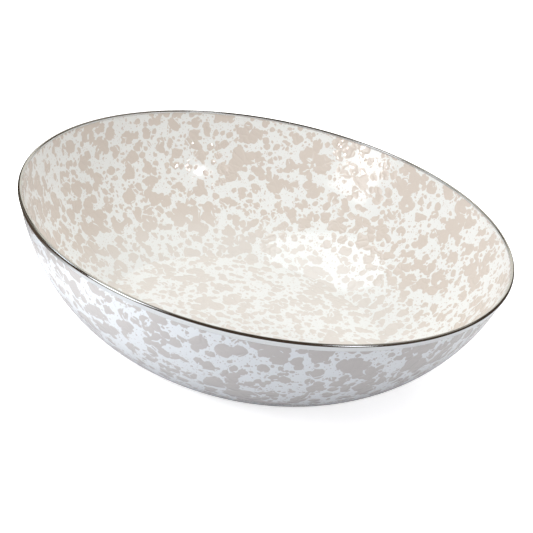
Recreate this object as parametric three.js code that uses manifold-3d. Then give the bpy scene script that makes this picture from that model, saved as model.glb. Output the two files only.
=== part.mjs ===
// Catering bowl: a pressed steel bowl, enamelled inside and out, with a stainless strip rolled over its edge.
// Millimetres, +Z up. The origin is the middle of the base, on the surface that the bowl stands on.
import * as THREE from 'three';
import { mergeVertices } from 'three/addons/utils/BufferGeometryUtils.js';
import Module from 'manifold-3d';

// Outside of the enamelled bowl
const rimDiameter = 438; // at the edge, under the strip
const rimHeight = 115.5; // of that edge
const baseDiameter = 256; // where the curve of the wall would meet the table
const wallBulge = 16.6; // how far that curve stands out from its chord
const heelRadius = 5; // rounding of the base into the wall

// Layers
const outerEnamelThickness = 0.3;
const steelThickness = 1.0;
const innerEnamelThickness = 0.3;
const bondGap = 0.02; // between two layers, which fuse in the kiln

// Strip: a hook with a round crown, a long leg outside and a short one inside
const stripThickness = 0.5; // of its sheet
const stripRoom = 0.5; // free space beside and over the edge, inside the crown
const stripOuterLeg = 4.2; // from the crown's centre down to the outer lip
const stripInnerLeg = 0.8; // the same for the inner lip
const lipClearance = 0.25; // each lip to the enamel
const seamGap = 0.3; // between the two ends of the strip
const seamAngle = Math.PI / 2; // the ends meet at +Y

// Facets
const turnSteps = 64; // round the axis
const wallSteps = 10;
const heelSteps = 3;
const crownSteps = 8;

// Depth of each layer's outer face below the outside of the bowl
const steelDepth = outerEnamelThickness + bondGap;
const innerEnamelDepth = steelDepth + steelThickness + bondGap;
const wallThickness = innerEnamelDepth + innerEnamelThickness;

// Profile points are (distance from the axis, height)
const point = (radius, height) => new THREE.Vector2(radius, height);
const polar = (angle) => point(Math.cos(angle), Math.sin(angle));

function arc(centre, radius, from, to, steps) {
	return new THREE.ArcCurve(centre.x, centre.y, radius, from, to, to < from).getPoints(steps);
}

// The wall is one arc, given by its two ends and its bulge
const baseCorner = point(baseDiameter / 2, 0);
const rimCorner = point(rimDiameter / 2, rimHeight);
const chord = rimCorner.clone().sub(baseCorner);
const wallRadius = (chord.lengthSq() / 4 + wallBulge ** 2) / (2 * wallBulge);
const inward = point(-chord.y, chord.x).normalize();
const wallCentre = baseCorner.clone().lerp(rimCorner, 0.5).addScaledVector(inward, wallRadius - wallBulge);
const rimAngle = Math.atan2(rimCorner.y - wallCentre.y, rimCorner.x - wallCentre.x);

// The heel is an arc that touches the table and the wall
const heelReach = Math.sqrt((wallRadius - heelRadius) ** 2 - (wallCentre.y - heelRadius) ** 2);
const heelCentre = point(wallCentre.x + heelReach, heelRadius);
const heelAngle = Math.atan2(heelCentre.y - wallCentre.y, heelReach);

// One face of the shell, from the axis to the edge, at a depth below the outer surface
function shellFace(depth) {
	const heel = arc(heelCentre, heelRadius - depth, -Math.PI / 2, heelAngle, heelSteps);
	const wall = arc(wallCentre, wallRadius - depth, heelAngle, rimAngle, wallSteps);
	return [point(0, depth), ...heel, ...wall.slice(1)];
}

function turned(profile) {
	return new THREE.LatheGeometry(profile, turnSteps).rotateX(Math.PI / 2);
}

function shellLayer(depth, thickness) {
	return turned([...shellFace(depth), ...shellFace(depth + thickness).reverse()]);
}

// The strip's section, drawn as (outwards from the middle of the wall, up from the crown's centre)
function stripSection() {
	const crownRadius = wallThickness / 2 + stripRoom;
	const lip = wallThickness / 2 + lipClearance;
	const centre = point(0, 0);
	return [
		point(lip, -stripOuterLeg),
		point(lip + stripThickness, -stripOuterLeg),
		...arc(centre, crownRadius + stripThickness, 0, Math.PI, crownSteps),
		point(-lip - stripThickness, -stripInnerLeg),
		point(-lip, -stripInnerLeg),
		...arc(centre, crownRadius, Math.PI, 0, crownSteps),
		point(lip, -stripOuterLeg),
	];
}

// The section sits on the edge and leans with the wall there
function stripRing() {
	const outwards = polar(rimAngle);
	const upwards = polar(rimAngle + Math.PI / 2);
	const edge = rimCorner.clone().addScaledVector(outwards, -wallThickness / 2);
	const crownCentre = edge.addScaledVector(upwards, -stripRoom);
	const place = (p) => crownCentre.clone().addScaledVector(outwards, p.x).addScaledVector(upwards, p.y);
	return turned(stripSection().map(place));
}

// A thin block across the strip, where its two ends meet
function seamBlock() {
	const stripHeight = stripOuterLeg + wallThickness + stripRoom + stripThickness;
	const block = new THREE.BoxGeometry(2 * stripHeight, seamGap, 2 * stripHeight);
	return block.translate(rimCorner.x, 0, rimCorner.y).rotateZ(seamAngle);
}

const wasm = await Module();
wasm.setup();

function toSolid(geometry) {
	const bare = geometry.clone();
	bare.deleteAttribute('normal');
	bare.deleteAttribute('uv');
	const merged = mergeVertices(bare);
	const vertProperties = new Float32Array(merged.attributes.position.array);
	const triVerts = new Uint32Array(merged.index.array);
	return new wasm.Manifold(new wasm.Mesh({ numProp: 3, vertProperties, triVerts }));
}

function toGeometry(solid) {
	const { vertProperties, triVerts } = solid.getMesh();
	const geometry = new THREE.BufferGeometry();
	geometry.setAttribute('position', new THREE.BufferAttribute(vertProperties, 3));
	geometry.setIndex(new THREE.BufferAttribute(triVerts, 1));
	geometry.computeVertexNormals();
	return geometry;
}

const outsideFinish = new THREE.MeshStandardMaterial({ color: 0xc9cac9, roughness: 0.12, metalness: 0 });
const insideFinish = new THREE.MeshStandardMaterial({ color: 0xe0d8ce, roughness: 0.12, metalness: 0 });
const sheetSteel = new THREE.MeshStandardMaterial({ color: 0x5c5f63, roughness: 0.5, metalness: 1 });
const stainless = new THREE.MeshStandardMaterial({ color: 0xd3d4d3, roughness: 0.12, metalness: 1 });

const bowl = new THREE.Group();

function addPiece(name, geometry, material) {
	const piece = new THREE.Mesh(geometry, material);
	piece.name = name;
	bowl.add(piece);
}

addPiece('outer_enamel', shellLayer(0, outerEnamelThickness), outsideFinish);
addPiece('steel_body', shellLayer(steelDepth, steelThickness), sheetSteel);
addPiece('inner_enamel', shellLayer(innerEnamelDepth, innerEnamelThickness), insideFinish);
addPiece('rim_strip', toGeometry(toSolid(stripRing()).subtract(toSolid(seamBlock()))), stainless);

export default bowl;
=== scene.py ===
import math

import bpy
import numpy as np
from mathutils import Matrix, Vector


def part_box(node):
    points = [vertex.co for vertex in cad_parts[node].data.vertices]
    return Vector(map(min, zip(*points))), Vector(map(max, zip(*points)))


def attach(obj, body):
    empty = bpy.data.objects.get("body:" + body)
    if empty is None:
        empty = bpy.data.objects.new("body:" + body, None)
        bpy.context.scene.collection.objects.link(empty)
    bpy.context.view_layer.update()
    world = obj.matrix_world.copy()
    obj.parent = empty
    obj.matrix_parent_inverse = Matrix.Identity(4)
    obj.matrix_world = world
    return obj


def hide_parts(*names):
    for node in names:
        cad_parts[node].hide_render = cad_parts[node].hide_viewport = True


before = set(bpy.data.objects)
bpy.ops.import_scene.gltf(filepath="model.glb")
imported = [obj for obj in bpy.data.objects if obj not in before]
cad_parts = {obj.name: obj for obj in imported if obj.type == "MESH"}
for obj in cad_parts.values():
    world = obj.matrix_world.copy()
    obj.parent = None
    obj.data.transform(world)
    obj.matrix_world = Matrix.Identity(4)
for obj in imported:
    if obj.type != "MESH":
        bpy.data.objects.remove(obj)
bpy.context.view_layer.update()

# Spattered enamel catering bowl. Metres, +Z up, the base stands on z = 0.
scene = bpy.context.scene
scene.view_settings.view_transform = "Standard"


# Mesh and node helpers

def srgb(red, green, blue):  # a colour as it is read off a screen, 0 to 255, made linear
    c = np.array([red, green, blue]) / 255
    linear = np.where(c <= 0.04045, c / 12.92, ((c + 0.055) / 1.055) ** 2.4)
    return (*linear.tolist(), 1.0)


def unit(angles):  # points on the unit circle
    return np.stack([np.cos(angles), np.sin(angles)], axis=-1)


def meshFrom(name, vertices, faceGroups, sharpAngle=180.0):
    # each group is an array of faces with the same number of corners, one face to a row
    mesh = bpy.data.meshes.new(name)
    corners = np.concatenate([group.ravel() for group in faceGroups]).astype(np.int32)
    counts = np.concatenate([np.full(len(group), group.shape[1]) for group in faceGroups])
    starts = (np.cumsum(counts) - counts).astype(np.int32)
    mesh.vertices.add(len(vertices))
    mesh.vertices.foreach_set("co", np.asarray(vertices, np.float32).ravel())
    mesh.loops.add(len(corners))
    mesh.loops.foreach_set("vertex_index", corners)
    mesh.polygons.add(len(starts))
    mesh.polygons.foreach_set("loop_start", starts)
    mesh.polygons.foreach_set("use_smooth", np.ones(len(starts), bool))
    mesh.update(calc_edges=True)
    mesh.validate()
    mesh.set_sharp_from_angle(angle=math.radians(sharpAngle))
    piece = bpy.data.objects.new(name, mesh)
    scene.collection.objects.link(piece)
    return piece


def wire(tree, socket, value):
    if isinstance(value, bpy.types.NodeSocket):
        tree.links.new(value, socket)
    else:
        socket.default_value = value


def addNode(tree, kind, sockets=None, **settings):
    node = tree.nodes.new(kind)
    for key, value in settings.items():
        setattr(node, key, value)
    for key, value in (sockets or {}).items():
        wire(tree, node.inputs[key], value)
    return node


def maths(tree, operation, *values):
    node = addNode(tree, "ShaderNodeMath", operation=operation)
    for socket, value in zip(node.inputs, values):
        wire(tree, socket, value)
    return node.outputs[0]


def mixColours(tree, share, first, second):  # a Mix node has its colours at inputs 6 and 7 and output 2
    sockets = {"Factor": share, 6: first, 7: second}
    return addNode(tree, "ShaderNodeMix", sockets, data_type="RGBA").outputs[2]


def remap(tree, value, fromLow, fromHigh, toLow=0.0, toHigh=1.0, curve="SMOOTHSTEP"):
    sockets = {"Value": value, "From Min": fromLow, "From Max": fromHigh, "To Min": toLow, "To Max": toHigh}
    return addNode(tree, "ShaderNodeMapRange", sockets, interpolation_type=curve).outputs["Result"]


def noise(tree, place, size, detail=1.0, output="Fac"):  # size is the width of one lump, in metres
    sockets = {"Vector": place, "Scale": 1 / size, "Detail": detail}
    return addNode(tree, "ShaderNodeTexNoise", sockets, noise_dimensions="3D").outputs[output]


def newMaterial(name):
    material = bpy.data.materials.new(name)
    material.use_nodes = True
    tree = material.node_tree
    tree.nodes.clear()
    out = addNode(tree, "ShaderNodeOutputMaterial")
    return material, tree, out


# Shape of the bowl's wall, shared by every piece. The rim's radius comes from the frame.
bowl = {
    "rimHeight": 0.1155,        # of the outer enamel's edge
    "baseDiameter": 0.256,      # where the wall's curve would meet the table
    "wallBulge": 0.0166,        # of that curve beyond its chord
    "heelRadius": 0.005,        # rounding of the base into the wall
    "outerEnamel": 0.0003,      # thicknesses
    "steel": 0.0010,
    "innerEnamel": 0.0003,
    "bondGap": 0.00002,         # between two layers
    "turnSteps": 256,
    "baseSteps": 14,
    "heelSteps": 12,
    "wallSteps": 48,
    "sharpAngle": 40.0,
}

rimCorner = np.array([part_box("outer_enamel")[1].x, bowl["rimHeight"]])
baseCorner = np.array([bowl["baseDiameter"] / 2, 0.0])
chord = rimCorner - baseCorner
chordLength = np.hypot(*chord)
wallRadius = (chordLength ** 2 / 4 + bowl["wallBulge"] ** 2) / (2 * bowl["wallBulge"])
inward = np.array([-chord[1], chord[0]]) / chordLength
wallCentre = (baseCorner + rimCorner) / 2 + inward * (wallRadius - bowl["wallBulge"])
rimAngle = math.atan2(*(rimCorner - wallCentre)[::-1])
heelReach = math.sqrt((wallRadius - bowl["heelRadius"]) ** 2 - (wallCentre[1] - bowl["heelRadius"]) ** 2)
heelCentre = np.array([wallCentre[0] + heelReach, bowl["heelRadius"]])
heelAngle = math.atan2(heelCentre[1] - wallCentre[1], heelReach)
steelDepth = bowl["outerEnamel"] + bowl["bondGap"]
innerEnamelDepth = steelDepth + bowl["steel"] + bowl["bondGap"]
wallThickness = innerEnamelDepth + bowl["innerEnamel"]
print("wall curve, radius", round(wallRadius, 4), "thickness", round(wallThickness, 5))


def faceProfile(depth):
    # one face of the shell as (distance from the axis, height), at a depth below the outside:
    # flat from the axis, then the heel's arc, then the wall's arc up to the edge
    flat = np.linspace((0, depth), (heelCentre[0], depth), bowl["baseSteps"], endpoint=False)
    heelTurn = np.linspace(-math.pi / 2, heelAngle, bowl["heelSteps"], endpoint=False)
    wallTurn = np.linspace(heelAngle, rimAngle, bowl["wallSteps"] + 1)
    heel = heelCentre + (bowl["heelRadius"] - depth) * unit(heelTurn)
    wall = wallCentre + (wallRadius - depth) * unit(wallTurn)
    return np.vstack([flat, heel, wall])


def shellLayer(name, depth, thickness):
    # the outer face out to the edge and the inner face back to the axis, turned round +Z:
    # a profile point (r, z) at the angle a goes to (r cos a, r sin a, z), and the two ends are poles
    profile = np.vstack([faceProfile(depth), faceProfile(depth + thickness)[::-1]])
    turns = bowl["turnSteps"]
    angles = np.arange(turns) * 2 * math.pi / turns
    rings = profile[1:-1]
    across = rings[:, None, 0, None] * unit(angles)[None]
    up = np.broadcast_to(rings[:, None, 1, None], (len(rings), turns, 1))
    grid = np.concatenate([across, up], axis=-1).reshape(-1, 3)
    poles = np.array([[0, 0, profile[0, 1]], [0, 0, profile[-1, 1]]])
    vertices = np.vstack([grid, poles])
    firstPole = len(grid)
    here = np.arange(len(grid)).reshape(len(rings), turns)
    there = np.roll(here, -1, axis=1)
    quads = np.stack([here[:-1], there[:-1], there[1:], here[1:]], axis=-1).reshape(-1, 4)
    firstFan = np.stack([np.full(turns, firstPole), there[0], here[0]], axis=-1)
    lastFan = np.stack([np.full(turns, firstPole + 1), here[-1], there[-1]], axis=-1)
    return meshFrom(name, vertices, [quads, firstFan, lastFan], bowl["sharpAngle"])


# Enamel: a glossy glass coat with drops of a second colour spattered over it

spatter = {
    "bigBend": (0.0125, 0.0032),    # lump size and reach of the noise that bends the drops
    "smallBend": (0.0038, 0.0008),
    "clumpSize": 0.042,             # patches with more or fewer drops
    "clumpReach": 0.0034,
    "wiggleSize": 0.0046,           # uneven outlines
    "wiggleReach": 0.0017,
    "blots": (0.0150, 0.0069),      # spacing and radius of each kind of drop
    "drops": (0.0086, 0.0040),
    "dots": (0.0058, 0.0014),
    "specks": (0.0036, 0.00068),
    "mist": (0.0023, 0.00040),
    "sizeRange": (0.55, 1.25),      # smallest and largest drop of a kind, as shares of its radius
    "blotMelt": 0.45,               # how far neighbours run together
    "dropMelt": 0.25,
    "kindMelt": 0.0010,             # and blots with drops, in metres
    "dropSwell": 0.5,               # how much of a blot's swelling a drop has
    "veinSpacing": 0.0125,          # thin bare lines between drops that met
    "veinWidth": 0.0006,
    "veinPatchSize": 0.014,         # patches with and without such lines
    "veinPatches": (0.50, 0.66),    # the patch noise where they begin and where they are widest
    "edge": 0.00020,                # softness of a drop's outline
    "domeEdge": (-0.0003, 0.0028),  # each drop stands up as a low dome from here to here, inwards
    "domeHeight": 0.00022,
    "peelSize": 0.0035,             # orange peel of the fired glass
    "peelHeight": 0.000016,
    "roughness": 0.08,
    "glassIndex": 1.52,
    "baseSheenHeights": (0.004, 0.040),  # heights over which the painted sheen on the base's drops gives way to their full colour
}

coats = {
    # The outer coat is the same enamel as the inner one; its cooler, greyer ground and drop colours are
    # painted shade, for the dimmer, cooler light on the outside of the bowl.
    "outer": {
        "ground": srgb(224, 229, 233),
        "drop": srgb(192, 189, 188),
        "dropScale": 1.12,
        "patternPlace": (6.13, 1.86, 6.54),  # where the coat is cut from the endless pattern
        "paintedBaseSheen": 0.0,                     # share of the ground colour mixed into drops on the base: painted sheen, none on the outside
    },
    "inner": {
        "ground": srgb(231, 232, 229),
        "drop": srgb(210, 200, 190),
        "dropScale": 0.92,
        "patternPlace": (1.59, 7.86, 7.63),
        # painted sheen: drops on the inner base are paler, for the glare that washes them out there
        "paintedBaseSheen": 0.35,
    },
}


def bent(tree, place, bend):
    # the place moved by a noise vector, at most by the reach along each axis
    size, reach = bend
    lumps = noise(tree, place, size, output="Color")
    kind = "ShaderNodeVectorMath"
    centred = addNode(tree, kind, {0: lumps, 1: (0.5, 0.5, 0.5)}, operation="SUBTRACT").outputs[0]
    scaled = addNode(tree, kind, {0: centred, "Scale": 2 * reach}, operation="SCALE").outputs[0]
    return addNode(tree, kind, {0: place, 1: scaled}, operation="ADD").outputs[0]


def inDrop(tree, place, kind, smooth=0.0):
    # how far a place lies inside the nearest drop, in metres; each drop's radius is drawn at random
    spacing, radius = kind
    sockets = {"Vector": place, "Scale": 1 / spacing, "Randomness": 1.0}
    cells = addNode(tree, "ShaderNodeTexVoronoi", sockets, feature="SMOOTH_F1" if smooth else "F1")
    if smooth:
        cells.inputs["Smoothness"].default_value = smooth
    draw = addNode(tree, "ShaderNodeSeparateColor", {"Color": cells.outputs["Color"]}).outputs[0]
    smallest, largest = np.array(spatter["sizeRange"]) * radius
    size = remap(tree, draw, 0.0, 1.0, smallest, largest, "LINEAR")
    away = maths(tree, "MULTIPLY", cells.outputs["Distance"], spacing)
    return maths(tree, "SUBTRACT", size, away)


def spatterDepth(tree, place):
    # union of five kinds of drop, blots and drops swelling where the clump noise is high, less the veins
    s = spatter
    wavy = bent(tree, bent(tree, place, s["bigBend"]), s["smallBend"])
    clump = maths(tree, "SUBTRACT", noise(tree, place, s["clumpSize"]), 0.5)
    wiggle = maths(tree, "SUBTRACT", noise(tree, place, s["wiggleSize"]), 0.5)
    swell = maths(tree, "MULTIPLY", clump, 2 * s["clumpReach"])
    swell = maths(tree, "MULTIPLY_ADD", wiggle, 2 * s["wiggleReach"], swell)
    blots = maths(tree, "ADD", inDrop(tree, wavy, s["blots"], s["blotMelt"]), swell)
    drops = maths(tree, "MULTIPLY_ADD", swell, s["dropSwell"], inDrop(tree, wavy, s["drops"], s["dropMelt"]))
    large = maths(tree, "SMOOTH_MAX", blots, drops, s["kindMelt"])
    sockets = {"Vector": wavy, "Scale": 1 / s["veinSpacing"], "Randomness": 1.0}
    cells = addNode(tree, "ShaderNodeTexVoronoi", sockets, feature="DISTANCE_TO_EDGE")
    fromVein = maths(tree, "MULTIPLY", cells.outputs["Distance"], s["veinSpacing"])
    veinShare = noise(tree, place, s["veinPatchSize"])
    veinHalf = remap(tree, veinShare, *s["veinPatches"], -s["veinWidth"], s["veinWidth"])
    large = maths(tree, "MINIMUM", large, maths(tree, "SUBTRACT", fromVein, veinHalf))
    small = maths(tree, "MAXIMUM", inDrop(tree, wavy, s["dots"]), inDrop(tree, wavy, s["specks"]))
    small = maths(tree, "MAXIMUM", small, inDrop(tree, wavy, s["mist"]))
    return maths(tree, "MAXIMUM", large, small)


def enamel(name, coat):
    material, tree, out = newMaterial(name)
    place = addNode(tree, "ShaderNodeTexCoord").outputs["Object"]
    shrink = 1 / coat["dropScale"]
    cut = addNode(tree, "ShaderNodeMapping", {
        "Vector": place, "Location": coat["patternPlace"], "Scale": (shrink, shrink, shrink)})
    depth = spatterDepth(tree, cut.outputs[0])
    covered = remap(tree, depth, -spatter["edge"], spatter["edge"])
    dome = remap(tree, depth, *spatter["domeEdge"])
    height = addNode(tree, "ShaderNodeSeparateXYZ", {"Vector": place}).outputs["Z"]
    # painted sheen: the drops turn paler towards the base, standing in for the glare that washes them out
    # there
    baseSheen = remap(tree, height, *spatter["baseSheenHeights"], coat["paintedBaseSheen"], 0.0)
    drop = mixColours(tree, baseSheen, coat["drop"], coat["ground"])
    colour = mixColours(tree, covered, coat["ground"], drop)
    peel = noise(tree, place, spatter["peelSize"])
    peelBump = addNode(tree, "ShaderNodeBump", {"Height": peel, "Distance": spatter["peelHeight"]})
    sockets = {"Height": dome, "Distance": spatter["domeHeight"], "Normal": peelBump.outputs[0]}
    domeBump = addNode(tree, "ShaderNodeBump", sockets)
    glass = addNode(tree, "ShaderNodeBsdfPrincipled", {
        "Base Color": colour, "Roughness": spatter["roughness"], "IOR": spatter["glassIndex"],
        "Normal": domeBump.outputs[0]})
    wire(tree, out.inputs["Surface"], glass.outputs[0])
    return material


# Sheet steel under the enamel, mottled by the press

sheet = {
    "mottleSize": 0.004,
    "mottleDetail": 4.0,
    "mottleRange": (0.3, 0.7),      # of the noise, over which the roughness changes
    "dark": srgb(120, 122, 125),
    "pale": srgb(160, 162, 165),
    "roughness": (0.35, 0.55),
}


def sheetSteel():
    material, tree, out = newMaterial("pressed sheet steel")
    place = addNode(tree, "ShaderNodeTexCoord").outputs["Object"]
    mottle = noise(tree, place, sheet["mottleSize"], sheet["mottleDetail"])
    colour = mixColours(tree, mottle, sheet["dark"], sheet["pale"])
    roughness = remap(tree, mottle, *sheet["mottleRange"], *sheet["roughness"])
    steel = addNode(tree, "ShaderNodeBsdfPrincipled", {
        "Base Color": colour, "Metallic": 1.0, "Roughness": roughness})
    wire(tree, out.inputs["Surface"], steel.outputs[0])
    return material


def dress(piece, material, node):
    piece.data.materials.append(material)
    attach(piece, "root")
    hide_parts(node)
    print("made", piece.name, len(piece.data.polygons), "faces")


outerCoat = shellLayer("outer_coat", 0.0, bowl["outerEnamel"])
dress(outerCoat, enamel("outer enamel", coats["outer"]), "outer_enamel")
steelShell = shellLayer("steel_shell", steelDepth, bowl["steel"])
dress(steelShell, sheetSteel(), "steel_body")
innerCoat = shellLayer("inner_coat", innerEnamelDepth, bowl["innerEnamel"])
dress(innerCoat, enamel("inner enamel", coats["inner"]), "inner_enamel")


# Rim strip: a hook of polished stainless sheet, closed over the edge from seam to seam

strip = {
    "thickness": 0.0005,
    "crownRadius": 0.00157,     # of the sheet's middle, round the edge, on the outside
    "innerCrown": (0.0012, 0.0009),  # width and height of its tighter turn on the inside
    "edgeRoom": 0.0005,         # from the crown's centre up to the edge
    "outerLeg": 0.0042,         # from the crown's centre down to each lip
    "innerLeg": 0.0008,
    "lipGap": 0.00004,          # lip to enamel
    "seamGap": 0.0003,
    "seamAngle": math.pi / 2,
    "turnSteps": 512,
    "legSteps": 12,
    "crownSteps": 28,
    "lipSteps": 5,
    "sharpAngle": 50.0,
}


def stripSection():
    # the sheet's middle line as (outwards from the wall's middle, up from the crown's centre), lip to lip,
    # and its half thickness, which closes in a half circle at each lip
    s = strip
    half = s["thickness"] / 2
    lip = wallThickness / 2 + s["lipGap"] + half
    crown = s["crownRadius"] * unit(np.linspace(0, math.pi, s["crownSteps"] + 1))
    fromTop = crown - (0, s["crownRadius"])
    tighter = fromTop * np.array(s["innerCrown"]) / s["crownRadius"] + (0, s["crownRadius"])
    crown = np.where(crown[:, :1] < 0, tighter, crown)
    outerLeg = np.linspace((lip, -s["outerLeg"]), crown[0], s["legSteps"], endpoint=False)
    innerLeg = np.linspace(crown[-1], (-lip, -s["innerLeg"]), s["legSteps"] + 1)[1:]
    line = np.vstack([outerLeg, crown, innerLeg])
    roundEnd = np.linspace(0, half, s["lipSteps"] + 1)[1:]
    length = np.concatenate([[0], np.cumsum(np.hypot(*np.diff(line, axis=0).T))])
    stops = np.unique(np.concatenate([length, roundEnd, length[-1] - roundEnd]))
    line = np.stack([np.interp(stops, length, line[:, k]) for k in (0, 1)], axis=-1)
    fromLip = np.clip(np.minimum(stops, stops[-1] - stops), 0, half)
    return line, np.sqrt(half ** 2 - (half - fromLip) ** 2), stops


def rimStrip(name):
    # the section's two sides carried round the rim: a point (o, u) goes to the place that lies o outwards
    # from the middle of the wall and u along it, and a turn by the angle a swings it round +Z
    s = strip
    line, half, stops = stripSection()
    slope = np.gradient(line, axis=0)
    normal = np.stack([slope[:, 1], -slope[:, 0]], axis=-1) / np.hypot(*slope.T)[:, None]
    outerSide = line + normal * half[:, None]
    innerSide = line - normal * half[:, None]
    loop = np.vstack([outerSide, innerSide[-2:0:-1]])
    bend = rimAngle + (loop[:, 1] - s["edgeRoom"]) / wallRadius
    profile = wallCentre + (wallRadius - wallThickness / 2 + loop[:, :1]) * unit(bend)
    halfSeam = s["seamGap"] / 2 / rimCorner[0]
    angles = s["seamAngle"] + np.linspace(halfSeam, 2 * math.pi - halfSeam, s["turnSteps"] + 1)
    across = profile[None, :, 0, None] * unit(angles)[:, None]
    up = np.broadcast_to(profile[None, :, 1, None], (len(angles), len(profile), 1))
    vertices = np.concatenate([across, up], axis=-1).reshape(-1, 3)
    here = np.arange(len(vertices)).reshape(len(angles), len(profile))
    there = np.roll(here, -1, axis=1)
    quads = np.stack([here[:-1], there[:-1], there[1:], here[1:]], axis=-1).reshape(-1, 4)[:, ::-1]
    outerIds = np.arange(len(line))
    innerIds = np.concatenate([[0], np.arange(len(profile) - 1, len(line) - 1, -1), [len(line) - 1]])
    capQuads = np.stack([outerIds[1:-2], outerIds[2:-1], innerIds[2:-1], innerIds[1:-2]], axis=-1)
    capEnds = np.array([[0, outerIds[1], innerIds[1]], [outerIds[-1], innerIds[-2], outerIds[-2]]])
    last = here[-1, 0]
    groups = [quads, capQuads, capQuads[:, ::-1] + last, capEnds, capEnds[:, ::-1] + last]
    piece = meshFrom(name, vertices, groups, s["sharpAngle"])
    around = np.broadcast_to(angles[:, None] * rimCorner[0], here.shape).ravel()
    section = np.concatenate([stops, stops[-2:0:-1]])
    along = np.stack([around, np.broadcast_to(section, here.shape).ravel()], axis=-1)
    cornerIds = np.zeros(len(piece.data.loops), np.int32)
    piece.data.loops.foreach_get("vertex_index", cornerIds)
    uv = piece.data.uv_layers.new(name="along")
    uv.data.foreach_set("uv", along[cornerIds].astype(np.float32).ravel())
    return piece


polish = {
    "colour": srgb(217, 220, 223),
    "linesPerMetre": (12.0, 9000.0),  # of the fine lines, along the strip and across it
    "lineDetail": 2.0,
    "lineHeight": 0.000002,
    "lineRange": (0.3, 0.7),        # of the noise, over which the roughness changes
    "roughness": (0.06, 0.14),
}


def polishedStainless():
    # fine lines run round the strip, along the way it was drawn
    material, tree, out = newMaterial("polished stainless")
    place = addNode(tree, "ShaderNodeUVMap", uv_map="along").outputs["UV"]
    scale = (*polish["linesPerMetre"], 1.0)
    stretched = addNode(tree, "ShaderNodeMapping", {"Vector": place, "Scale": scale})
    lines = noise(tree, stretched.outputs[0], 1.0, polish["lineDetail"])
    bump = addNode(tree, "ShaderNodeBump", {"Height": lines, "Distance": polish["lineHeight"]})
    roughness = remap(tree, lines, *polish["lineRange"], *polish["roughness"], "LINEAR")
    steel = addNode(tree, "ShaderNodeBsdfPrincipled", {
        "Base Color": polish["colour"], "Metallic": 1.0, "Roughness": roughness, "Normal": bump.outputs[0]})
    wire(tree, out.inputs["Surface"], steel.outputs[0])
    return material


rimBand = rimStrip("rim_band")
dress(rimBand, polishedStainless(), "rim_strip")


# Camera, fitted to the rim's ellipse: the bowl's origin in the camera's axes, and its tilt

camera = {
    "elevation": 27.22,         # degrees above the bowl's horizon
    "roll": 11.87,
    "right": -0.01845,          # of the origin from the middle of the picture
    "down": 0.05389,
    "away": 1.3725,
    "focalPixels": 1500.0,      # focal length in pixels of the picture
    "picturePixels": 533.0,
    "sensorWidth": 36.0,        # millimetres
}


def makeCamera():
    c = camera
    tilt = math.radians(c["elevation"])
    roll = math.radians(c["roll"])
    level = Vector((1, 0, 0))
    forward = Vector((0, math.cos(tilt), -math.sin(tilt)))
    low = Vector((0, -math.sin(tilt), -math.cos(tilt)))
    right = math.cos(roll) * level - math.sin(roll) * low
    down = math.sin(roll) * level + math.cos(roll) * low
    data = bpy.data.cameras.new("camera")
    data.sensor_width = c["sensorWidth"]
    data.lens = data.sensor_width * c["focalPixels"] / c["picturePixels"]
    view = bpy.data.objects.new("camera", data)
    place = -(right * c["right"] + down * c["down"] + forward * c["away"])
    turn = Matrix((right, -down, -forward)).transposed()
    view.matrix_world = Matrix.Translation(place) @ turn.to_4x4()
    scene.collection.objects.link(view)
    scene.camera = view


makeCamera()
print("camera placed")


# Studio: a white floor in a dark room, soft lamps for the enamel and pale cards that only the strip mirrors

studio = {
    "floorSize": 9.0,
    "floorHeight": -0.0002,         # just under the base
    "floorColour": srgb(240, 240, 240),
    "floorLift": 0.68,              # glow that only the camera sees in the floor
    "paperRadius": 0.62,            # of the floor that mirrors see as white
    "paperSoft": 0.08,
    "paperLeft": -0.245,            # mirrors see it dark beyond this
    "paperEndSoft": 0.025,
    "room": (0.066, 0.045, 0.031, 1.0),  # what mirrors see where there is no lamp or paper
    "fill": (0.235, 0.228, 0.268, 1.0),  # light from all round on matt surfaces
    "backdrop": (1.0, 1.0, 1.0, 1.0),    # what the camera sees past the floor
}

plainLamp = {
    "aim": (0.0, 0.0, 0.05),
    "colour": (1.0, 1.0, 1.0),
    "diffuse": True,                # lights matt surfaces
    "mirrors": True,                # shows in glossy ones
    "round": False,
    "rings": (1.0,),                # sizes of the sheets that it is stacked from, which soften its edge
    "shinesOn": "everything",       # or one of the receivers below
}

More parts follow.
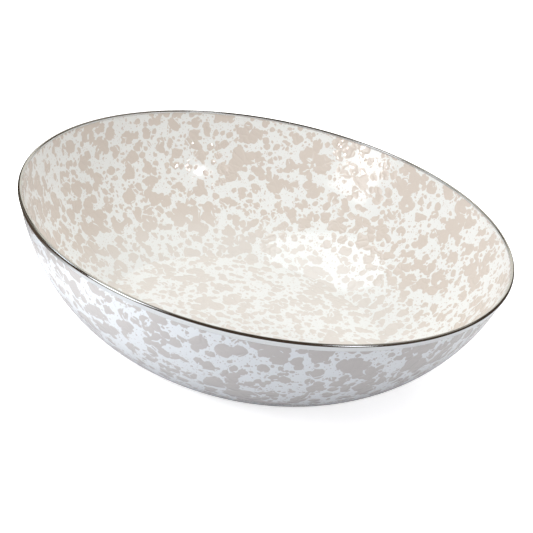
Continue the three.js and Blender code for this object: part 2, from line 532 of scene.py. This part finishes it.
lamps = {                           # size is width and height, brightness is against white
    "overhead": {"place": (-0.40, 0.16, 1.10), "size": (0.58, 0.66), "brightness": 1.6, "round": True,
                 "colour": (0.90, 0.96, 1.0), "shinesOn": "all but strip"},
    "overhead glare": {"place": (-0.40, 0.16, 1.10), "size": (0.58, 0.66), "brightness": 13.5, "round": True,
                       "colour": (0.84, 0.95, 1.0), "diffuse": False, "rings": (0.65, 0.80, 0.95, 1.10, 1.25),
                       "shinesOn": "all but strip"},
    "back card": {"place": (0.0, 1.60, 0.86), "size": (1.5, 0.60), "brightness": 2.8,
                  "mirrors": False, "shinesOn": "all but strip"},
    "top sheet": {"place": (0.0, 0.0, 1.90), "size": (2.2, 2.2), "brightness": 1.44,
                  "colour": (1.0, 1.0, 0.94), "mirrors": False},
    "left key": {"place": (-1.45, -0.25, 0.35), "size": (0.9, 0.7), "brightness": 3.2,
                 "colour": (1.0, 0.98, 0.95), "mirrors": False},
    "left umbrella": {"place": (-0.62, -0.60, 0.40), "size": (0.36, 0.70), "brightness": 3.0,
                      "colour": (0.97, 0.98, 1.0), "shinesOn": "all but strip"},
    "left tube": {"place": (-0.56, -0.55, 0.29), "aim": (0.08, 0.20, 0.10), "size": (0.05, 0.05),
                  "brightness": 130.0, "diffuse": False, "shinesOn": "all but strip"},
    "right fill": {"place": (1.50, -0.60, 0.70), "size": (1.0, 0.8), "brightness": 1.55,
                   "colour": (1.0, 0.97, 0.92), "mirrors": False},
    "front fill": {"place": (0.10, -1.20, 0.75), "size": (1.0, 0.5), "brightness": 0.9,
                   "colour": (0.94, 0.97, 1.0), "mirrors": False, "shinesOn": "inner coat"},
    "right tube": {"place": (0.76, -0.61, 0.95), "aim": (-0.08, 0.17, 0.06), "size": (0.065, 0.065),
                   "brightness": 130.0, "diffuse": False, "shinesOn": "all but strip"},
    "backdrop": {"place": (0.0, 1.90, 0.55), "size": (1.9, 1.1), "brightness": 0.62,
                 "colour": (1.0, 0.96, 0.83), "shinesOn": "strip"},
    "left card": {"place": (-0.80, 0.95, 1.55), "size": (1.4, 1.0), "brightness": 0.62,
                  "colour": (1.0, 0.96, 0.82), "shinesOn": "strip"},
    "right card": {"place": (0.80, 0.95, 1.55), "size": (1.1, 0.9), "brightness": 0.30,
                   "colour": (1.0, 0.94, 0.80), "shinesOn": "strip"},
    "left wall": {"place": (-1.70, 0.75, 0.70), "size": (1.3, 0.9), "brightness": 0.10,
                  "colour": (1.0, 0.95, 0.82), "shinesOn": "strip"},
    "left reflector": {"place": (-0.67, -0.50, 0.49), "size": (0.38, 0.80), "brightness": 1.7,
                       "shinesOn": "strip"},
    "left wing": {"place": (-1.21, -0.04, 0.68), "size": (0.34, 0.36), "brightness": 1.8,
                  "colour": (0.88, 0.95, 1.0), "shinesOn": "strip"},
    "right reflector": {"place": (0.78, -0.63, 0.97), "size": (0.28, 0.60), "brightness": 2.0,
                        "shinesOn": "strip"},
}


def makeFloor():
    half = studio["floorSize"] / 2
    z = studio["floorHeight"]
    corners = np.array([[-half, -half, z], [half, -half, z], [half, half, z], [-half, half, z]])
    floor = meshFrom("floor", corners, [np.array([[0, 1, 2, 3]])])
    material, tree, out = newMaterial("floor")
    path = addNode(tree, "ShaderNodeLightPath")
    mirrored = maths(tree, "MAXIMUM", path.outputs["Is Glossy Ray"], path.outputs["Is Transmission Ray"])
    place = addNode(tree, "ShaderNodeTexCoord").outputs["Object"]
    away = addNode(tree, "ShaderNodeVectorMath", {0: place}, operation="LENGTH").outputs["Value"]
    edge = studio["paperRadius"]
    offPaper = remap(tree, away, edge - studio["paperSoft"], edge + studio["paperSoft"])
    axes = addNode(tree, "ShaderNodeSeparateXYZ", {"Vector": place}).outputs
    left, soft = studio["paperLeft"], studio["paperEndSoft"]
    offPaper = maths(tree, "MAXIMUM", offPaper, remap(tree, axes["X"], left + soft, left - soft))
    dark = maths(tree, "MULTIPLY", mirrored, offPaper)
    colour = mixColours(tree, dark, studio["floorColour"], studio["room"])
    lift = maths(tree, "MULTIPLY", path.outputs["Is Camera Ray"], studio["floorLift"])
    paper = addNode(tree, "ShaderNodeBsdfDiffuse", {"Color": colour})
    glow = addNode(tree, "ShaderNodeEmission", {"Strength": lift})
    both = addNode(tree, "ShaderNodeAddShader", {0: paper.outputs[0], 1: glow.outputs[0]})
    wire(tree, out.inputs["Surface"], both.outputs[0])
    material.cycles.emission_sampling = "NONE"
    floor.data.materials.append(material)
    return floor


def makeWorld():
    # the camera sees white, mirrors see a dark room, and everything else gets an even fill
    world = bpy.data.worlds.new("studio")
    world.use_nodes = True
    world.cycles.sampling_method = "NONE"
    tree = world.node_tree
    tree.nodes.clear()
    out = addNode(tree, "ShaderNodeOutputWorld")
    path = addNode(tree, "ShaderNodeLightPath")
    mirrored = maths(tree, "MAXIMUM", path.outputs["Is Glossy Ray"], path.outputs["Is Transmission Ray"])
    colour = mixColours(tree, mirrored, studio["fill"], studio["room"])
    colour = mixColours(tree, path.outputs["Is Camera Ray"], colour, studio["backdrop"])
    light = addNode(tree, "ShaderNodeBackground", {"Color": colour, "Strength": 1.0})
    wire(tree, out.inputs["Surface"], light.outputs[0])
    scene.world = world


def makeLamp(name, settings, receivers):
    # Cycles gives a sheet of power p and area a the radiance p / 4a
    s = {**plainLamp, **settings}
    for ring in s["rings"]:
        width, height = np.array(s["size"]) * ring
        area = width * height * (math.pi / 4 if s["round"] else 1)
        data = bpy.data.lights.new(name, "AREA")
        data.shape = "ELLIPSE" if s["round"] else "RECTANGLE"
        data.size = width
        data.size_y = height
        data.energy = 4 * area * s["brightness"] / len(s["rings"])
        data.color = s["colour"]
        lamp = bpy.data.objects.new(name, data)
        lamp.location = s["place"]
        lamp.rotation_euler = (Vector(s["aim"]) - Vector(s["place"])).to_track_quat("-Z", "Y").to_euler()
        lamp.visible_camera = False
        lamp.visible_diffuse = s["diffuse"]
        lamp.visible_glossy = s["mirrors"]
        if s["shinesOn"] in receivers:
            lamp.light_linking.receiver_collection = receivers[s["shinesOn"]]
        scene.collection.objects.link(lamp)


def receiverGroup(name, pieces):
    group = bpy.data.collections.new(name)
    for piece in pieces:
        group.objects.link(piece)
    return group


makeWorld()
floor = makeFloor()
receivers = {
    "all but strip": receiverGroup("all but strip", [outerCoat, steelShell, innerCoat, floor]),
    "inner coat": receiverGroup("inner coat", [innerCoat]),
    "strip": receiverGroup("strip", [rimBand]),
}
for lampName, lampSettings in lamps.items():
    makeLamp(lampName, lampSettings, receivers)
print("studio lit with", len(lamps), "lamps")
